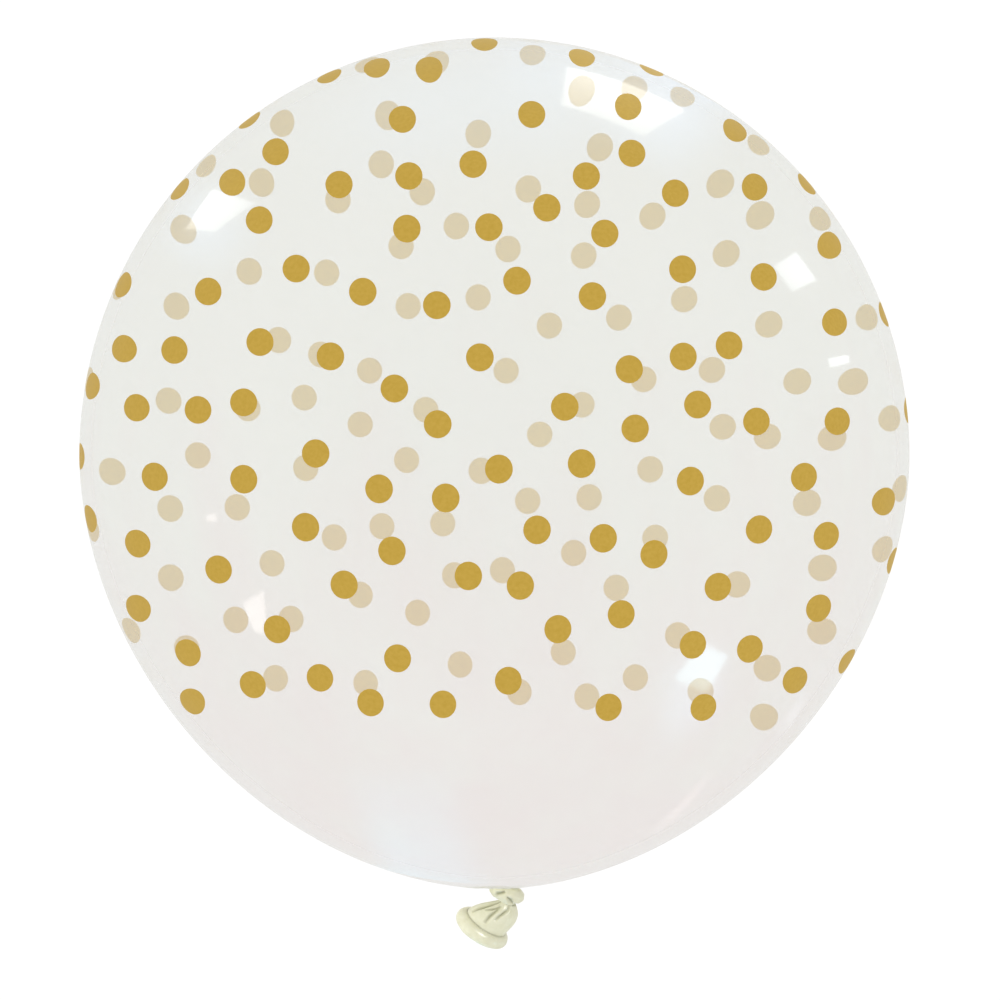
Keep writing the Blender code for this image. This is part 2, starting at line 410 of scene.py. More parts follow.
INK_MOTTLE = 0.0022  # size of the mottling
INK_OUTSIDE = ("#C4A248", "#BD9B40")  # where the ink is thin, and where it is thick
# the inner side's paler tones: partly the latex over the ink, partly painted light
INK_INSIDE = ("#DEBE58", "#D7B750")


def ink_material(name):
    """Gold screen ink: opaque, satin and a little mottled where the blowing stretches it. Its
    inner side, seen from within through the skin, is paler and yellower: partly the latex over
    it, and partly painted light that makes up for the dimmer light inside the body."""
    material, tree, output = new_material(name)
    place = add_node(tree, "ShaderNodeTexCoord").outputs["Object"]
    mottle = add_node(
        tree, "ShaderNodeTexNoise", {"Vector": place, "Scale": 1.0 / INK_MOTTLE, "Detail": 3.0}
    )
    sides = [
        add_node(
            tree,
            "ShaderNodeValToRGB",
            {"Fac": mottle.outputs["Fac"]},
            stops=((0.3, thick_code), (0.7, thin_code)),
        ).outputs["Color"]
        for thin_code, thick_code in (INK_OUTSIDE, INK_INSIDE)
    ]
    inside = add_node(tree, "ShaderNodeNewGeometry").outputs["Backfacing"]
    tone = add_node(
        tree, "ShaderNodeMix", {"Factor": inside, "A": sides[0], "B": sides[1]}, data_type="RGBA"
    )
    gloss = add_node(
        tree, "ShaderNodeMapRange", {"Value": mottle.outputs["Fac"], "To Min": 0.42, "To Max": 0.52}
    )
    shader = add_node(
        tree,
        "ShaderNodeBsdfPrincipled",
        {
            "Base Color": tone.outputs[2],
            "Roughness": gloss.outputs[0],
            "IOR": 1.5,
            "Specular IOR Level": 0.05,
        },
    )
    tree.links.new(shader.outputs[0], output.inputs["Surface"])
    return material


def add_piece(name, points, faces, materials):
    """Makes a mesh piece of the balloon, shaded smooth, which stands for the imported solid."""
    mesh = bpy.data.meshes.new(name)
    mesh.from_pydata(points, [], faces)
    mesh.shade_smooth()
    for material in materials:
        mesh.materials.append(material)
    piece = bpy.data.objects.new(name, mesh)
    bpy.context.scene.collection.objects.link(piece)
    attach(piece, "root")
    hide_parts("balloon")
    return piece


NECK_BANDS = (  # how far from the axis each thicker band of film ends, and how much it hides
    (0.018, 0.60),
    (0.015, 0.72),
    (0.012, 0.86),
    (0.009, 1.00),
)
BAND_WAVER = 0.12  # how far a band's edge strays, as a share of its distance from the axis
# the film's white, with a painted tint of the room's light: cooler at the crown, warmer at the neck
FILM_CROWN, FILM_NECK = "#E7E9E4", "#E7DFDE"
BAND_CREAM = "#E2E2CE"

aims, triangles, dome_slots = dome_mesh(both_passes())
dome_points = skin_points(aims)
dome_normals = skin_normals(aims)
cap_turns = even_turns(CAP_SIDES)
cap_top = BODY_RADIUS * skin_spread(aims[:1])[0][0]
cap_radii = np.geomspace(cap_top, THROAT_RADIUS, CAP_RINGS + 1)[1:]
cap_rows = [cap_points(cap_turns, np.full(CAP_SIDES, radius)) for radius in cap_radii]
skin_vertices = np.vstack([dome_points] + cap_rows)

skin_faces = [tuple(int(i) for i in triangle) for triangle in triangles]
skin_slots = [int(slot) for slot in dome_slots]
rows = [np.arange(CAP_SIDES)]
rows += [len(dome_points) + CAP_SIDES * i + np.arange(CAP_SIDES) for i in range(CAP_RINGS)]
for upper, lower, radius in zip(rows, rows[1:], cap_radii):
    for i in range(CAP_SIDES):
        j = (i + 1) % CAP_SIDES
        skin_faces.append((int(upper[i]), int(lower[i]), int(lower[j]), int(upper[j])))
        waver = math.sin(5.0 * cap_turns[i]) * math.sin(3.0 * cap_turns[i] + 1.0)
        strayed = radius * (1.0 + BAND_WAVER * waver)
        band = sum(1 for limit, _ in NECK_BANDS if strayed < limit)
        skin_slots.append(FIRST_BAND_SLOT + band - 1 if band else FILM_SLOT)

skin_materials = [
    film_material("natural_latex_blown_film", FILM_OPACITY, FILM_CROWN, FILM_NECK),
    ink_material("gold_screen_ink"),
]
for number, (_, opacity) in enumerate(NECK_BANDS):
    skin_materials.append(
        film_material(f"natural_latex_neck_film_{number + 1}", opacity, BAND_CREAM, BAND_CREAM)
    )
skin = add_piece("blown_skin", skin_vertices, skin_faces, skin_materials)
skin.data.polygons.foreach_set("material_index", skin_slots)
skin.data.update()
vertex_normals = np.array([tuple(vertex.normal) for vertex in skin.data.vertices])
vertex_normals[: len(dome_normals)] = dome_normals
for row, radius in zip(rows[1:], cap_radii):
    if radius > GATHER_REACH[1]:
        vertex_normals[row] = skin_normals(cap_aims(cap_turns, np.full(CAP_SIDES, radius)))
skin.data.normals_split_custom_set_from_vertices([tuple(normal) for normal in vertex_normals])

# The knot in the neck
# The same skin, wrapped once round itself and pulled tight by hand. It isn't stretched there, so
# it is thick and cream. The wrap swells out on both sides of the strand that it holds.

KNOT_SIDE_STEP = 0.0074  # from the body's axis to the knot's middle, towards +X
KNOT_DROP = 0.0025  # from the body's end to the knot's middle
KNOT_LEAN = math.radians(27)  # the knot's axis, turned from the body's towards -X
NECK_RADIUS = 0.0042
KNOT_GRAIN = 0.00026  # fineness of its mesh
SKIN_CLEARANCE = 0.00015  # the knot is pressed against the body's skin, and stays this far off it
MELTING = 4  # passes that soften the voxel steps of the knot's skin
WRAPS = (  # each ring's radius, half its thickness outwards and along the knot, its place, its tilt
    (0.0052, 0.0053, 0.0046, 0.0004, math.radians(-10)),
    (0.0038, 0.0026, 0.0021, 0.0041, 0.0),
)
WRAP_STEPS = 72  # round each ring
WRAP_FOLDS = 9  # fine folds that run along the fat wrap, round its section
WRAP_FOLD_DEPTH = 0.00012
WRAP_FOLD_SWAY = 0.8
HELD_STRAND = (  # where the strand passes over the wrap: across, up, along, and half its width
    (-0.0012, 0.0060, -0.0040, 0.0020),
    (-0.0010, 0.0083, -0.0015, 0.0022),
    (-0.0003, 0.0084, 0.0012, 0.0030),
    (0.0006, 0.0070, 0.0032, 0.0042),
    (0.0010, 0.0046, 0.0046, 0.0052),
)
STRAND_THICKNESS = 0.0018  # half of it
STRAND_STEPS = 40
NECK_STEPS = 12
PLEAT_START = 0.004  # how far before the knot's axis, or behind it, the pleats begin
PLEAT_DEEPENING = 0.002  # over how far from there they reach their depth
# how dark the painted shade is in the deepest pleat
PLEAT_SHADE = 0.9
PLEATS = (  # each pinch line's ends, across and along, its depth, and half its width at both ends
    ((-0.0049, 0.0032), (-0.0020, 0.0004), 0.0013, 0.0012, 0.0008),
    ((0.0014, 0.0025), (0.0038, 0.0032), 0.0012, 0.0005, 0.0013),
    ((0.0038, 0.0032), (0.0055, 0.0043), 0.0012, 0.0013, 0.0004),
)


def plan_frame(turn, dip):
    """Rows: the level line across a piece, its upper side, and its axis, turned from -Y to -X."""
    across = np.array((math.cos(turn), -math.sin(turn), 0.0))
    level = np.array((-math.sin(turn), -math.cos(turn), 0.0))
    axis = level * math.cos(dip) - np.array((0.0, 0.0, math.sin(dip)))
    return np.array((across, np.cross(axis, across), axis))


def skin_end(radius):
    """How far along the neck's half the skin has this radius."""
    return NECK_LENGTH * (1.0 - (radius / BODY_RADIUS) ** NECK_FULLNESS) ** (1.0 / NECK_FULLNESS)


def smooth_path(stations, count):
    """Points on a soft curve through the stations, with their last number blended along it."""
    stations = np.array(stations)
    ends = np.vstack((2.0 * stations[0] - stations[1], stations, 2.0 * stations[-1] - stations[-2]))
    path = []
    for place in np.linspace(0.0, len(stations) - 1.0 - 1e-6, count):
        i = int(place)
        t = place - i
        a, b, c, d = ends[i : i + 4]
        bend = (2.0 * a - 5.0 * b + 4.0 * c - d) * t**2 + (3.0 * b - a - 3.0 * c + d) * t**3
        path.append(0.5 * (2.0 * b + (c - a) * t + bend))
    return np.array(path)


def add_swelling(build, middle, turn, radii):
    """Adds one egg shape to the knot's rough form."""
    matrix = Matrix.LocRotScale(Vector(middle), Matrix(turn).transposed(), Vector(radii))
    bmesh.ops.create_icosphere(build, subdivisions=3, radius=1.0, matrix=matrix)


def rough_knot(root):
    """The wraps, the strand they hold and the neck, as overlapping shapes in the knot's frame."""
    build = bmesh.new()
    for ring, outwards, along, place, tilt in WRAPS:
        for angle in even_turns(WRAP_STEPS):
            out = np.array((math.cos(angle), math.sin(angle), 0.0))
            side = np.array((-math.sin(angle), math.cos(angle), 0.0))
            middle = ring * out + np.array((0.0, 0.0, place + ring * math.cos(angle) * math.sin(tilt)))
            add_swelling(build, middle, (out, side, (0.0, 0.0, 1.0)), (outwards, 0.5 * along, along))
    for across, up, along, width in smooth_path(HELD_STRAND, STRAND_STEPS):
        radii = (width, STRAND_THICKNESS, STRAND_THICKNESS)
        add_swelling(build, (across, up, along), np.eye(3), radii)
    for place in np.linspace(0.0, 1.0, NECK_STEPS):
        add_swelling(build, root * place, np.eye(3), (NECK_RADIUS, NECK_RADIUS, NECK_RADIUS))
    mesh = bpy.data.meshes.new("rough_knot")
    build.to_mesh(mesh)
    build.free()
    return mesh


def melted(mesh, grain, passes):
    """The outside of overlapping shapes as one skin: its points and its faces."""
    rough = bpy.data.objects.new("rough_form", mesh)
    bpy.context.scene.collection.objects.link(rough)
    remesh = rough.modifiers.new("one skin", "REMESH")
    remesh.mode = "VOXEL"
    remesh.voxel_size = grain
    soften = rough.modifiers.new("soften", "SMOOTH")
    soften.factor = 0.5
    soften.iterations = passes
    evaluated = rough.evaluated_get(bpy.context.evaluated_depsgraph_get())
    made = bpy.data.meshes.new_from_object(evaluated)
    bpy.data.objects.remove(rough)
    points = np.array([tuple(vertex.co) for vertex in made.vertices])
    faces = [tuple(polygon.vertices) for polygon in made.polygons]
    return points, faces


def pinch(points):
    """How deep the pleats are on the knot's front and, with its sides swapped, behind."""
    depth = np.zeros(len(points))
    mirrored = np.where(points[:, 1] > 0.0, 1.0, -1.0)
    begun = np.clip((np.abs(points[:, 1]) - PLEAT_START) / PLEAT_DEEPENING, 0.0, 1.0)
    for start, end, sink, start_width, end_width in PLEATS:
        start, end = np.array(start), np.array(end)
        flat = np.column_stack((points[:, 0] * mirrored, points[:, 2])) - start
        run = np.clip(flat @ (end - start) / ((end - start) @ (end - start)), 0.0, 1.0)
        off = np.linalg.norm(flat - run[:, None] * (end - start), axis=1)
        line = np.exp(-((off / (start_width + run * (end_width - start_width))) ** 2))
        depth = np.maximum(depth, sink * line * begun)
    return depth


def held_off_skin(points):
    """Points pressed flat against the body's skin where they would sink into it."""
    radius = np.hypot(points[:, 0], points[:, 2] - AXIS_HEIGHT)
    turn = np.arctan2(points[:, 0], points[:, 2] - AXIS_HEIGHT)
    skin_there = cap_points(turn, np.clip(radius, THROAT_RADIUS, GATHER_REACH[1]))
    limit = skin_there[:, 1] - SKIN_CLEARANCE
    pressed = points.copy()
    pressed[:, 1] = np.minimum(points[:, 1], limit)
    return pressed


# The last tone is painted shade, which the material mixes in where the stored shade says.
CREAM_PALE, CREAM_DEEP, CREAM_PAINTED_SHADE = "#DDDCC3", "#D4D3B7", "#908F6F"
CREAM_CLOUD = 0.004  # size of the clouding in the thick skin
CREAM_GRAIN = 0.0006  # size of the powdery grain on it


def thick_latex(name):
    """Natural latex that isn't stretched: cream, soft and half matt, darkened by painted shade in its
    creases, pleats and seams.
    """
    material, tree, output = new_material(name)
    place = add_node(tree, "ShaderNodeTexCoord").outputs["Object"]
    cloud = add_node(
        tree, "ShaderNodeTexNoise", {"Vector": place, "Scale": 1.0 / CREAM_CLOUD, "Detail": 3.0}
    )
    tone = add_node(
        tree,
        "ShaderNodeValToRGB",
        {"Fac": cloud.outputs["Fac"]},
        stops=((0.3, CREAM_DEEP), (0.7, CREAM_PALE)),
    )
    painted_shade = add_node(tree, "ShaderNodeAttribute", attribute_name="painted_shade")
    colour = add_node(
        tree,
        "ShaderNodeMix",
        {"Factor": painted_shade.outputs["Fac"], "A": tone.outputs["Color"], "B": linear(CREAM_PAINTED_SHADE)},
        data_type="RGBA",
    )
    grain = add_node(
        tree, "ShaderNodeTexNoise", {"Vector": place, "Scale": 1.0 / CREAM_GRAIN, "Detail": 2.0}
    )
    bump = add_node(
        tree, "ShaderNodeBump", {"Height": grain.outputs["Fac"], "Strength": 0.15, "Distance": 0.0001}
    )
    gloss = add_node(
        tree, "ShaderNodeMapRange", {"Value": grain.outputs["Fac"], "To Min": 0.28, "To Max": 0.38}
    )
    shader = add_node(
        tree,
        "ShaderNodeBsdfPrincipled",
        {
            "Base Color": colour.outputs[2],
            "Roughness": gloss.outputs[0],
            "IOR": 1.52,
            "Normal": bump.outputs["Normal"],
            "Subsurface Weight": 0.3,
            "Subsurface Radius": (1.0, 0.95, 0.8),
            "Subsurface Scale": 0.002,
        },
    )
    tree.links.new(shader.outputs[0], output.inputs["Surface"])
    return material


def add_painted_shade(piece, shade):
    """Stores the painted shade at each point, from 0 to 1, by which the material darkens it."""
    painted_shade = piece.data.attributes.new("painted_shade", "FLOAT", "POINT")
    painted_shade.data.foreach_set("value", np.clip(shade, 0.0, 1.0))


knot_middle = np.array((KNOT_SIDE_STEP, -skin_end(DIMPLE_RADIUS) - KNOT_DROP, AXIS_HEIGHT))
knot_frame = plan_frame(KNOT_LEAN, 0.0)
neck_root = np.array((0.0, DIMPLE_DEPTH + NECK_RADIUS - skin_end(DIMPLE_RADIUS), AXIS_HEIGHT))
rough_form = rough_knot(knot_frame @ (neck_root - knot_middle))
knot_local, knot_faces = melted(rough_form, KNOT_GRAIN, MELTING)
fat_ring, _, _, fat_place, _ = WRAPS[0]
knot_turn = np.arctan2(knot_local[:, 1], knot_local[:, 0])
beyond = np.hypot(knot_local[:, 0], knot_local[:, 1]) - fat_ring
below = knot_local[:, 2] - fat_place
outward = np.column_stack((beyond * np.cos(knot_turn), beyond * np.sin(knot_turn), below))
outward /= np.maximum(np.linalg.norm(outward, axis=1), 0.001)[:, None]
sway = WRAP_FOLD_SWAY * np.sin(2.0 * knot_turn + 0.7)
ripple = WRAP_FOLD_DEPTH * np.cos(WRAP_FOLDS * np.arctan2(below, beyond) + sway)
pinched = pinch(knot_local)
deepest_pleat = PLEATS[0][2]
knot_local += (ripple - pinched)[:, None] * outward
knot_points = held_off_skin(knot_local @ knot_frame + knot_middle)
cream_latex = thick_latex("natural_latex_thick_cream")
knot = add_piece("tied_knot", knot_points, knot_faces, [cream_latex])
# Painted shade darkens the pleats, most in the deepest one.
add_painted_shade(knot, PLEAT_SHADE * pinched / deepest_pleat)
knot.visible_glossy = False  # the skin would mirror it as a cream smear

# The open tail
# The end of the neck below the knot: an unstretched bell of latex about half a millimetre thick,
# creased where the knot gathers it, with its mouth rolled up into a fat bead in the factory.

TAIL_LENGTH = 0.0234  # from the knot's middle to the seam above the bead
TAIL_TURN = math.radians(34)  # turned from the body's axis towards -X
TAIL_DIP = math.radians(21.5)  # pointed below the level
TAIL_BOW = 0.0042  # how far it swings aside before it comes back into line
BOW_PEAK = 6.75  # makes the bow this deep where it is deepest
THROAT_STEP = 0.0042  # from the knot's middle to where the bell starts to open
TAIL_OPENING = 2.15  # above 1, and larger opens sooner
TAIL_WALL = 0.0006
TAIL_OVAL = 0.86  # its height to its width, because it lies a little flattened
TAIL_SLACK = 0.0024  # how far the bell falls in on its left
BEAD_RING_RADIUS = 0.0125
BEAD_RADIUS = 0.0044
BEAD_LEAN = 0.0003  # how much fatter the bead is on its left
BEAD_UNEVEN = 0.00012
TAIL_SIDES = 288
BELL_RINGS = 90
BEAD_RINGS = 36
CREASE_SHOULDER = 0.0002  # how far the skin swells beside a crease
SHOULDER_PLACE = 2.0  # how far from the crease's line that is, in halves of its width
CREASES = (  # each one's depth, half its width, and places: degrees round the tail, share of its length
    (0.0016, 0.0013, ((150, 0.18), (157, 0.40), (153, 0.62), (151, 0.88))),
    (0.0013, 0.0010, ((115, 0.28), (112, 0.46), (107, 0.60), (96, 0.84))),
    (0.0013, 0.0010, ((113, 0.29), (124, 0.46), (137, 0.62))),
    (0.0012, 0.0009, ((66, 0.18), (84, 0.37), (88, 0.49), (87, 0.64))),
    (0.0012, 0.0009, ((200, 0.25), (192, 0.70))),
    (0.0012, 0.0009, ((240, 0.25), (250, 0.58))),
    (0.0012, 0.0009, ((285, 0.25), (276, 0.74))),
    (0.0012, 0.0009, ((335, 0.25), (328, 0.62))),
)
TUCK_COUNT = 23  # fine gathers in the bell, just below the knot
TUCK_DEPTH = 0.00022
TUCK_END = 0.55  # of the tail's length
# A crease's painted shade is at its darkest from this depth on.
DARKEST_DEPTH = 0.0015  # of a crease, from where it is as dark as the folds get
# The seam's dark line between the bell and the bead is painted shade.
SEAM_WIDTH = 0.0006  # of the dark line between the bell and the bead
SEAM_SHADE = 0.6
# painted shade over all of the bell's inner wall
INSIDE_SHADE = 0.25
# The dark line where the bell comes out from under the knot is painted shade.
CONTACT_WIDTH = 0.0004  # of the dark line where the bell comes out from under the knot
CONTACT_SHADE = 0.7


def open_radius(along):
    """The bell's even radius at places along it."""
    opened = np.clip((along - THROAT_STEP) / (TAIL_LENGTH - THROAT_STEP), 0.0, 1.0)
    seam_radius = BEAD_RING_RADIUS + 0.5 * TAIL_WALL
    return THROAT_RADIUS + (seam_radius - THROAT_RADIUS) * (1.0 - (1.0 - opened) ** TAIL_OPENING)


def crease_shares(angle, along):
    """How deep the bell is creased, and how far up on the creases' shoulders it is, from 0 to 1."""
    deep = np.zeros_like(angle)
    swollen = np.zeros_like(angle)
    for depth, width, places in CREASES:
        angles, shares = zip(*places)
        run = (along / TAIL_LENGTH - shares[0]) / (shares[-1] - shares[0])
        line = np.radians(np.interp(along / TAIL_LENGTH, shares, angles))
        off = turned_from(line, angle) * open_radius(along) / width
        reach = np.sin(math.pi * np.clip(run, 0.0, 1.0)) ** 0.5
        deep = np.maximum(deep, depth * reach * np.exp(-(off**2)))
        swollen = np.maximum(swollen, reach * np.exp(-((np.abs(off) - SHOULDER_PLACE) ** 2)))
    return deep, swollen


def seam_shade(distance):
    """How dark the seam's line of painted shade is at this distance from it."""
    return SEAM_SHADE * math.exp(-((distance / SEAM_WIDTH) ** 2))


def bell_points(angle, along, wall):
    """A ring of the bell in the tail's frame, creased and finely gathered, less the wall."""
    deep, swollen = crease_shares(angle, along)
    fade = np.clip(1.0 - along / (TUCK_END * TAIL_LENGTH), 0.0, 1.0)
    tucks = TUCK_DEPTH * fade * np.cos(TUCK_COUNT * angle + 1.5 * np.sin(3.0 * angle))
    share = np.clip(along / TAIL_LENGTH, 0.0, 1.0)
    bell = BOW_PEAK * share * (1.0 - share) ** 2
    slack = TAIL_SLACK * bell * np.clip(-np.cos(angle), 0.0, 1.0) ** 2
    radius = open_radius(along) + tucks + CREASE_SHOULDER * swollen - deep - slack - wall
    flattened = 1.0 - (1.0 - TAIL_OVAL) * share
    return np.column_stack(
        (radius * np.cos(angle) + TAIL_BOW * bell, flattened * radius * np.sin(angle), along)
    )


tail_frame = plan_frame(TAIL_TURN, TAIL_DIP)
tail_angles = even_turns(TAIL_SIDES)
bell_places = np.linspace(THROAT_STEP, TAIL_LENGTH, BELL_RINGS + 1)
seam_roll = math.asin(0.5 * TAIL_WALL / BEAD_RADIUS)
bead_along = TAIL_LENGTH + BEAD_RADIUS * math.cos(seam_roll)
tail_rows = []
# Painted shade for each ring of points, from 0 to 1.
tail_shade = []
for along in bell_places:
    places = np.full(TAIL_SIDES, along)
    tail_rows.append(bell_points(tail_angles, places, 0.0))
    crease_shade = crease_shares(tail_angles, places)[0] / DARKEST_DEPTH
    tail_shade.append(np.maximum(crease_shade, seam_shade(TAIL_LENGTH - along)))
for i in range(1, BEAD_RINGS):
    roll = seam_roll + (math.tau - 2.0 * seam_roll) * i / BEAD_RINGS
    uneven = BEAD_UNEVEN * np.sin(5.0 * tail_angles + 1.0) * np.sin(2.0 * tail_angles)
    swell = BEAD_RADIUS - BEAD_LEAN * np.cos(tail_angles) + uneven
    across = (BEAD_RING_RADIUS + swell * math.sin(roll)) * np.cos(tail_angles)
    up = (TAIL_OVAL * BEAD_RING_RADIUS + swell * math.sin(roll)) * np.sin(tail_angles)
    along = bead_along - swell * math.cos(roll)
    tail_rows.append(np.column_stack((across, up, along)))
    tail_shade.append(np.full(TAIL_SIDES, seam_shade(BEAD_RADIUS * (roll - seam_roll))))
for along in reversed(bell_places):
    places = np.full(TAIL_SIDES, along)
    tail_rows.append(bell_points(tail_angles, places, TAIL_WALL))
    crease_shade = crease_shares(tail_angles, places)[0] / DARKEST_DEPTH
    tail_shade.append(np.maximum(crease_shade, INSIDE_SHADE))
tail_points = np.vstack(tail_rows) @ tail_frame + knot_middle
knot_tree = KDTree(len(knot_points))
for i, point in enumerate(knot_points):
    knot_tree.insert(point, i)
knot_tree.balance()
gap = np.array([knot_tree.find(point)[2] for point in tail_points])
contact_shade = CONTACT_SHADE * np.exp(-((gap / CONTACT_WIDTH) ** 2))
tail_faces = []
for row in range(len(tail_rows) - 1):
    for i in range(TAIL_SIDES):
        j = (i + 1) % TAIL_SIDES
        near, far = row * TAIL_SIDES, (row + 1) * TAIL_SIDES
        tail_faces.append((near + j, near + i, far + i, far + j))
tail = add_piece("open_tail", tail_points, tail_faces, [cream_latex])
# Painted shade in the creases, at the seam, inside the bell and where it leaves the knot.
add_painted_shade(tail, np.maximum(np.concatenate(tail_shade), contact_shade))
tail.visible_glossy = False  # as with the knot

# The floor and the room
# A pale floor of painted board, which glows a little so that the balloon hardly shades it, in an
# even white room. The skin doesn't mirror the floor but the dimmer light below the horizon.

FLOOR_SIZE = 40.0
FLOOR_GAP = 0.0003  # the balloon's flat spot lies this far above it
FLOOR_GREY = (0.30, 0.30, 0.30, 1.0)  # already linear
FLOOR_LIGHT = "#FFFFFF"
FLOOR_GLOW = 0.75
ROOM_LIGHT = (1.05, 1.05, 1.05, 1.0)  # brighter than white, so it has no colour code
LOW_LIGHT = (0.80, 0.81, 0.79, 1.0)  # on the same scale, what comes from below the horizon
HORIZON = 0.15  # how far each way from level, as a sine, the one turns into the other

floor_mesh = bpy.data.meshes.new("pale_floor")
half_side = 0.5 * FLOOR_SIZE
floor_corners = [
    (across * half_side, along * half_side, -FLOOR_GAP)
    for across, along in ((-1, -1), (1, -1), (1, 1), (-1, 1))
]
floor_mesh.from_pydata(floor_corners, [], [(0, 1, 2, 3)])
floor = bpy.data.objects.new("pale_floor", floor_mesh)
bpy.context.scene.collection.objects.link(floor)
floor_material, floor_tree, floor_output = new_material("pale_painted_board")
floor_shader = add_node(
    floor_tree,
    "ShaderNodeBsdfPrincipled",
    {
        "Base Color": FLOOR_GREY,
        "Roughness": 0.8,
        "Specular IOR Level": 0.0,
        "Emission Color": linear(FLOOR_LIGHT),
        "Emission Strength": FLOOR_GLOW,
    },
)
floor_tree.links.new(floor_shader.outputs[0], floor_output.inputs["Surface"])
floor_material.cycles.emission_sampling = "NONE"
floor_mesh.materials.append(floor_material)
floor.visible_glossy = False

room = bpy.data.worlds.new("white_room")
room.use_nodes = True
room.cycles.sampling_method = "NONE"
room_tree = room.node_tree
towards = add_node(room_tree, "ShaderNodeTexCoord").outputs["Generated"]
rise = add_node(room_tree, "ShaderNodeSeparateXYZ", {"Vector": towards}).outputs["Z"]
above = add_node(
    room_tree, "ShaderNodeMapRange", {"Value": rise, "From Min": -HORIZON, "From Max": HORIZON}
)
room_light = add_node(
    room_tree,
    "ShaderNodeMix",
    {"Factor": above.outputs[0], "A": LOW_LIGHT, "B": ROOM_LIGHT},
    data_type="RGBA",
)
room_tree.links.new(room_light.outputs[2], room_tree.nodes["Background"].inputs["Color"])
bpy.context.scene.world = room
bpy.context.scene.view_settings.view_transform = "Standard"

# The camera
# It looks straight down on the lying balloon from far off, with the neck at the bottom of the
# picture.

VIEW_WIDTH = 0.5787  # of the picture, at the balloon's widest ring
VIEW_MIDDLE = (0.0032, -0.0255)
VIEW_DISTANCE = 5.0  # above the body's axis

camera_data = bpy.data.cameras.new("camera")
camera_data.lens = camera_data.sensor_width * VIEW_DISTANCE / VIEW_WIDTH
camera_data.clip_end = 100.0
camera = bpy.data.objects.new("camera", camera_data)
camera.location = (VIEW_MIDDLE[0], VIEW_MIDDLE[1], AXIS_HEIGHT + VIEW_DISTANCE)
bpy.context.scene.collection.objects.link(camera)
bpy.context.scene.camera = camera

# The windows and the sky
# The skin mirrors the room: its windows, lamps and sky are curved panels of light that show in
# reflections alone. Each is laid out by its mirror image in the picture.

PICTURE_PIXELS = 1000
BODY_PIXEL = (494.5, 456.0)  # the middle of the body's widest ring in the picture
PANEL_GRID = 24  # squares along each side
HALVINGS = 30  # of the search for where a line of sight meets the skin
SEARCH_PAST = 0.01  # how far beyond the widest ring the search goes
WINDOW_LIGHT = "#F4FAFF"
COOL_LIGHT = "#CCF0FF"
COOL_SKY = "#C0DAFF"
SKY_LOW = "#B8E8FF"
WARM_WALL = "#FFF6F3"
PANELS = (  # name, corners of its mirror image in picture pixels, distance, glow, tint, soft edge,
    # and how much of its glow its first edge keeps, where it runs out of sight round the limb
    ("window_top", ((565, 66), (688, 111), (645, 138), (559, 106)), 0.30, 4.2, WINDOW_LIGHT, 0.05, 0.0),
    ("window_left", ((184, 230), (212, 188), (257, 203), (215, 233)), 0.35, 4.2, WINDOW_LIGHT, 0.06, 0.0),
    ("window_right", ((772, 266), (796, 250), (818, 281), (792, 293)), 0.35, 5.0, WINDOW_LIGHT, 0.08, 0.0),
    ("window_side", ((826, 358), (850, 354), (851, 363), (829, 369)), 0.35, 6.0, WINDOW_LIGHT, 0.15, 0.0),
    ("lamp_low_left", ((241, 602), (265, 587), (270, 636), (255, 634)), 0.60, 7.0, WARM_WALL, 0.12, 0.0),
    ("lamp_low_right", ((700, 636), (732, 654), (707, 696), (669, 680)), 0.60, 8.5, COOL_LIGHT, 0.16, 0.0),
    ("lamp_far_left", ((205, 514), (219, 511), (218, 523), (204, 522)), 0.60, 6.0, WARM_WALL, 0.25, 0.0),
    ("sky_top", ((465, 42), (640, 66), (600, 190), (475, 170)), 0.38, 2.0, COOL_SKY, 0.45, 0.15),
    ("sky_right_top", ((575, 49), (757, 132), (685, 208), (565, 154)), 0.36, 2.4, COOL_SKY, 0.42, 0.25),
    ("sky_far_top", ((236, 144), (690, 94), (610, 222), (330, 250)), 0.45, 1.8, COOL_SKY, 0.45, 0.15),
    ("sky_left", ((142, 262), (215, 158), (290, 230), (230, 300)), 0.42, 2.1, COOL_SKY, 0.45, 0.10),
    ("sky_low_right", ((640, 635), (740, 620), (728, 722), (632, 775)), 0.70, 3.4, COOL_SKY, 0.45, 0.0),
    ("sky_bottom", ((505, 884), (365, 864), (325, 755), (470, 735)), 0.50, 1.7, SKY_LOW, 0.35, 0.35),
    ("edge_low_right", ((806, 684), (815, 690), (781, 742), (769, 733)), 0.50, 1.3, WINDOW_LIGHT, 0.40, 0.0),
    ("streak_low_right", ((640, 836), (716, 757), (724, 763), (650, 843)), 0.50, 1.4, WARM_WALL, 0.40, 0.0),
)


